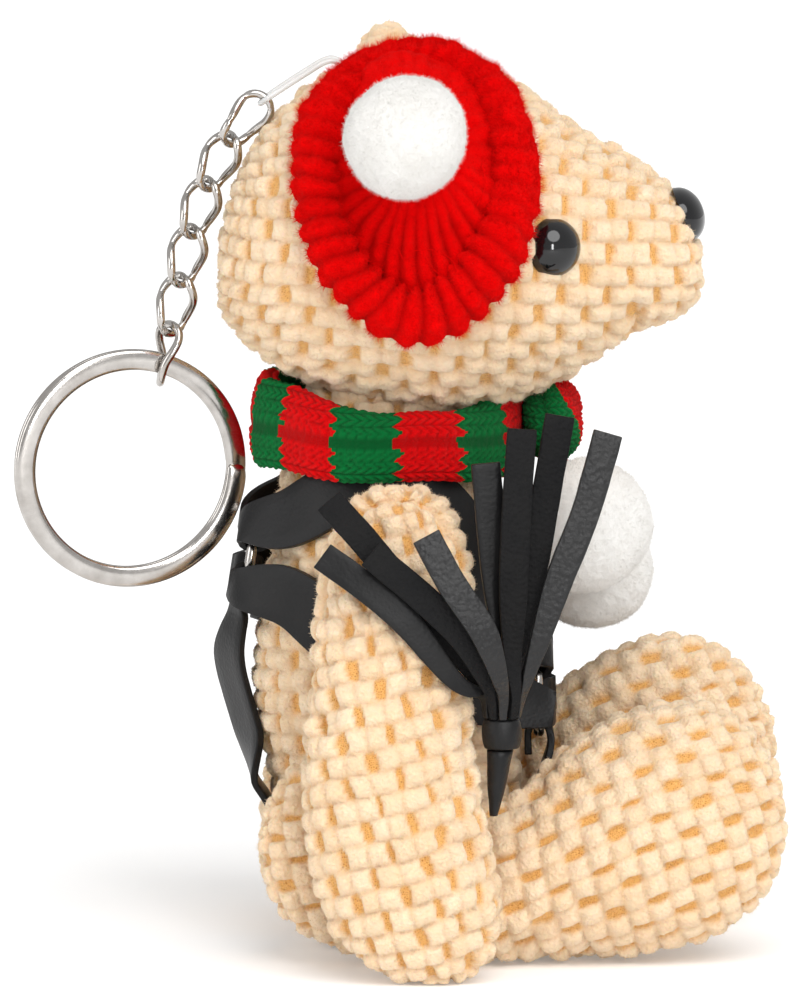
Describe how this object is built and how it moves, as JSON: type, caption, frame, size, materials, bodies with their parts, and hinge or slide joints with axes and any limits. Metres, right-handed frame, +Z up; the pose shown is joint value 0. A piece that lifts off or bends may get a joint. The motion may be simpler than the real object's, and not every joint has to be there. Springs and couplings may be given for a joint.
{
  "type": "plush keychain",
  "caption": "Seated plush bear in a knitted hat and scarf and a strap harness, holding a strap whisk, on a curb chain with a split key ring.",
  "frame": {"origin": "middle of the strap face under the seat, where the bear sits on a table, on the plane that halves the bear", "axes": "+Z up, +X the way the bear looks, +Y towards the bear's left side"},
  "size_m": [0.0954, 0.0738, 0.1152],
  "materials": {
    "plush": "cream chenille plush in a brick pattern of small pillows with a golden ground showing between them",
    "hat_knit": "brushed red rib knit",
    "scarf_knit": "jersey knit in red and green stripes",
    "pompom": "short dense white pile",
    "strap_leather": "black grained synthetic leather on a grey woven backing",
    "eye_plastic": "moulded black, high gloss",
    "washer_plastic": "moulded white, satin",
    "clear_line": "clear nylon line",
    "steel": "bright nickel-plated steel"
  },
  "bodies": {
    "bear": {"back_ring": "steel", "chest_ring": "steel", "ear_left": "plush", "ear_right": "plush", "eye_left": "eye_plastic", "eye_left_washer": "washer_plastic", "eye_right": "eye_plastic", "eye_right_washer": "washer_plastic", "hanging_loop": "clear_line", "hat_brim": "hat_knit", "hat_crown": "hat_knit", "hat_pompom": "pompom", "head": "plush", "nose": "eye_plastic", "nose_washer": "washer_plastic", "scarf_knot": "scarf_knit", "scarf_wrap": "scarf_knit", "shoulder_strap_left": "strap_leather", "shoulder_strap_right": "strap_leather", "side_strap_left": "strap_leather", "side_strap_right": "strap_leather", "spine_strap": "strap_leather", "torso": "plush"},
    "right_arm": {"right_arm": "plush", "whisk_binding": "strap_leather", "whisk_handle": "strap_leather", "whisk_strip_1": "strap_leather", "whisk_strip_2": "strap_leather", "whisk_strip_3": "strap_leather", "whisk_strip_4": "strap_leather", "whisk_strip_5": "strap_leather", "whisk_strip_6": "strap_leather", "whisk_strip_7": "strap_leather", "whisk_strip_8": "strap_leather"},
    "left_arm": {"left_arm": "plush"},
    "right_leg": {"right_leg": "plush"},
    "left_leg": {"left_leg": "plush"},
    "scarf_end_right": {"scarf_tail_right": "scarf_knit", "scarf_pompom_right": "pompom"},
    "scarf_end_left": {"scarf_tail_left": "scarf_knit", "scarf_pompom_left": "pompom"},
    "chain_1": {"chain_link_1": "steel"},
    "chain_2": {"chain_link_2": "steel"},
    "chain_3": {"chain_link_3": "steel"},
    "chain_4": {"chain_link_4": "steel"},
    "chain_5": {"chain_link_5": "steel"},
    "chain_6": {"chain_link_6": "steel"},
    "key_ring": {"key_ring": "steel"}
  },
  "joints": [
    {"name": "right_shoulder", "type": "hinge", "parent": "bear", "child": "right_arm", "pos_m": [0, -0.023, 0.052], "axis": [0, -1, 0], "range_deg": [-25, 20]},
    {"name": "left_shoulder", "type": "hinge", "parent": "bear", "child": "left_arm", "pos_m": [0, 0.023, 0.052], "axis": [0, -1, 0], "range_deg": [-25, 70]},
    {"name": "right_hip", "type": "hinge", "parent": "bear", "child": "right_leg", "pos_m": [-0.006, -0.0157, 0.014], "axis": [0, -1, 0], "range_deg": [0, 9]},
    {"name": "left_hip", "type": "hinge", "parent": "bear", "child": "left_leg", "pos_m": [-0.006, 0.0157, 0.014], "axis": [0, -1, 0], "range_deg": [-6, 3]},
    {"name": "right_tail_swing", "type": "hinge", "parent": "bear", "child": "scarf_end_right", "pos_m": [0.0196, -0.0034, 0.0614], "axis": [0, -1, 0], "range_deg": [0, 20]},
    {"name": "left_tail_swing", "type": "hinge", "parent": "bear", "child": "scarf_end_left", "pos_m": [0.0198, 0.003, 0.0614], "axis": [0, -1, 0], "range_deg": [0, 20]},
    {"name": "chain_1_swing", "type": "hinge", "parent": "bear", "child": "chain_1", "pos_m": [-0.0172, 0, 0.1063], "axis": [0, 1, 0], "range_deg": [0, 22]},
    {"name": "chain_2_sway", "type": "hinge", "parent": "chain_1", "child": "chain_2", "pos_m": [-0.02124, 0, 0.10149], "axis": [0.8988, 0, -0.4384], "range_deg": [-18, 18]},
    {"name": "chain_3_swing", "type": "hinge", "parent": "chain_2", "child": "chain_3", "pos_m": [-0.02399, 0, 0.09584], "axis": [0, 1, 0], "range_deg": [0, 22]},
    {"name": "chain_4_sway", "type": "hinge", "parent": "chain_3", "child": "chain_4", "pos_m": [-0.02593, 0, 0.08987], "axis": [0.9744, 0, -0.225], "range_deg": [-18, 18]},
    {"name": "chain_5_swing", "type": "hinge", "parent": "chain_4", "child": "chain_5", "pos_m": [-0.02734, 0, 0.08375], "axis": [0, 1, 0], "range_deg": [0, 22]},
    {"name": "chain_6_sway", "type": "hinge", "parent": "chain_5", "child": "chain_6", "pos_m": [-0.02865, 0, 0.07761], "axis": [0.9816, 0, -0.1908], "range_deg": [-18, 18]},
    {"name": "key_ring_swing", "type": "hinge", "parent": "chain_6", "child": "key_ring", "pos_m": [-0.02948, 0, 0.07331], "axis": [-0.2756, 0.9613, 0], "range_deg": [0, 10]}
  ]
}
